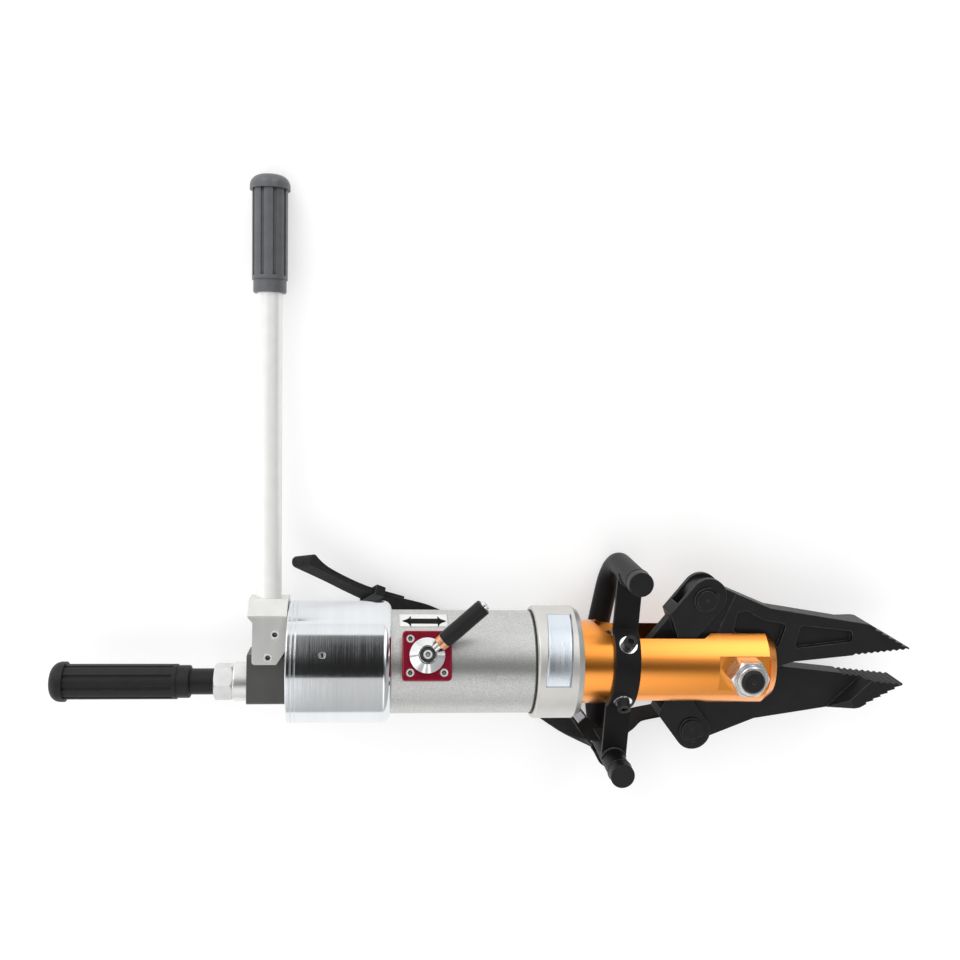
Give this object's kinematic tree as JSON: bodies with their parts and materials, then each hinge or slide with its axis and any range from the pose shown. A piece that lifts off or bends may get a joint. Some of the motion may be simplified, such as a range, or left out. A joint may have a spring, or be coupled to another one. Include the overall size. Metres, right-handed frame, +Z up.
{
  "type": "hydraulic rescue cutter-spreader",
  "caption": "Hand-pumped hydraulic rescue tool: a piston drives links that spread and close serrated cutting jaws; has a pump lever, selector valve, carry handle and strap.",
  "frame": {"origin": "middle of the footprint, on the surface that the tool lies on", "axes": "+X along the tool from the rear handle to the jaw tips, +Y towards the pump lever, +Z up, away from the carry handle side that it lies on"},
  "size_m": [0.7482, 0.5106, 0.1157],
  "materials": {
    "barrel_metal": "sand-blasted satin",
    "reservoir_chrome": "polished chrome",
    "collar_metal": "satin turned",
    "gold_anodised": "satin gold anodised",
    "red_anodised": "satin red anodised",
    "black_steel": "satin black",
    "grey_block": "matte dark grey",
    "silver_metal": "satin silver",
    "bright_steel": "bright plated",
    "dark_screws": "black oxide",
    "inner_steel": "machined",
    "seal_rubber": "matte",
    "grip_rubber": "matte moulded",
    "black_plastic": "matte",
    "copper": "bright copper",
    "webbing": "woven"
  },
  "bodies": {
    "tool_body": {"barrel": "barrel_metal", "bleed_screw": "bright_steel", "carry_handle_tube": "black_steel", "check_valves": "inner_steel", "clamp_screws": "black_steel", "clamp_strip": "black_steel", "clamp_washers": "bright_steel", "collar": "collar_metal", "end_plate_screws": "bright_steel", "handle_end_plugs": "black_plastic", "pivot_bolt": "black_steel", "pivot_nut": "bright_steel", "plunger_gland": "inner_steel", "plunger_seal": "seal_rubber", "pump_body": "inner_steel", "rear_block": "grey_block", "rear_grip": "grip_rubber", "rear_handle_rod": "black_steel", "rear_lock_nut": "silver_metal", "rear_sleeve": "silver_metal", "reservoir_cover": "reservoir_chrome", "reservoir_end_plate": "inner_steel", "rod_gland": "inner_steel", "rod_seal": "seal_rubber", "strap": "webbing", "strap_lug": "silver_metal", "strap_slider": "black_plastic", "valve_block": "red_anodised", "valve_screws": "dark_screws", "yoke": "gold_anodised"},
    "pump_lever": {"lever_fork": "silver_metal", "lever_tube": "silver_metal", "lever_grip": "grip_rubber", "lever_pivot_pin": "bright_steel", "plunger_drive_pin": "bright_steel"},
    "plunger": {"plunger": "inner_steel"},
    "valve_lever": {"valve_hub": "bright_steel", "valve_spool": "inner_steel", "hub_screw": "bright_steel", "valve_stem": "bright_steel", "valve_ferrule": "copper", "valve_grip": "black_plastic", "valve_grip_screw": "bright_steel"},
    "piston": {"piston": "inner_steel", "piston_seal": "seal_rubber", "piston_rod": "inner_steel", "crosshead": "inner_steel", "crosshead_pin": "inner_steel"},
    "upper_jaw": {"upper_jaw": "black_steel", "upper_tail_pin": "black_steel", "upper_circlips": "black_steel"},
    "upper_link": {"upper_link": "black_steel"},
    "lower_jaw": {"lower_jaw": "black_steel", "lower_tail_pin": "black_steel", "lower_circlips": "black_steel"},
    "lower_link": {"lower_link": "black_steel"}
  },
  "joints": [
    {"name": "upper_jaw_pivot", "type": "hinge", "parent": "tool_body", "child": "upper_jaw", "pos_m": [0.21595, -0.1538, 0.05705], "axis": [0, 0, 1], "range_deg": [-6, 24]},
    {"name": "lower_jaw_pivot", "type": "hinge", "parent": "tool_body", "child": "lower_jaw", "pos_m": [0.21595, -0.1538, 0.05705], "axis": [0, 0, 1], "range_deg": [-24, 6]},
    {"name": "upper_link_pivot", "type": "hinge", "parent": "upper_jaw", "child": "upper_link", "pos_m": [0.18128, -0.09138, 0.05705], "axis": [0, 0, 1], "range_deg": [-43.5, 11.5]},
    {"name": "lower_link_pivot", "type": "hinge", "parent": "lower_jaw", "child": "lower_link", "pos_m": [0.18128, -0.21621, 0.05705], "axis": [0, 0, 1], "range_deg": [-11.5, 43.5]},
    {"name": "piston_slide", "type": "slide", "parent": "tool_body", "child": "piston", "axis": [1, 0, 0], "range_m": [-0.0422, 0.0108]},
    {"name": "pump_lever_pivot", "type": "hinge", "parent": "tool_body", "child": "pump_lever", "pos_m": [-0.19355, -0.14603, 0.05628], "axis": [0, 0.099, 0.9951], "range_deg": [0, 60]},
    {"name": "plunger_slide", "type": "slide", "parent": "tool_body", "child": "plunger", "axis": [1, 0, 0], "range_m": [-0.0205, 0.0002]},
    {"name": "valve_lever_turn", "type": "hinge", "parent": "tool_body", "child": "valve_lever", "pos_m": [-0.06155, -0.13346, 0.10273], "axis": [0, 0.4067, 0.9135], "range_deg": [0, 95]}
  ],
  "couplings": [
    {"joint": "lower_jaw_pivot", "follows": "upper_jaw_pivot", "ratio": -1},
    {"joint": "upper_link_pivot", "follows": "upper_jaw_pivot", "ratio": -1.7899},
    {"joint": "lower_link_pivot", "follows": "upper_jaw_pivot", "ratio": 1.7899},
    {"joint": "piston_slide", "follows": "upper_jaw_pivot", "m_per_rad": -0.09954},
    {"joint": "plunger_slide", "follows": "pump_lever_pivot", "m_per_rad": -0.019194}
  ]
}
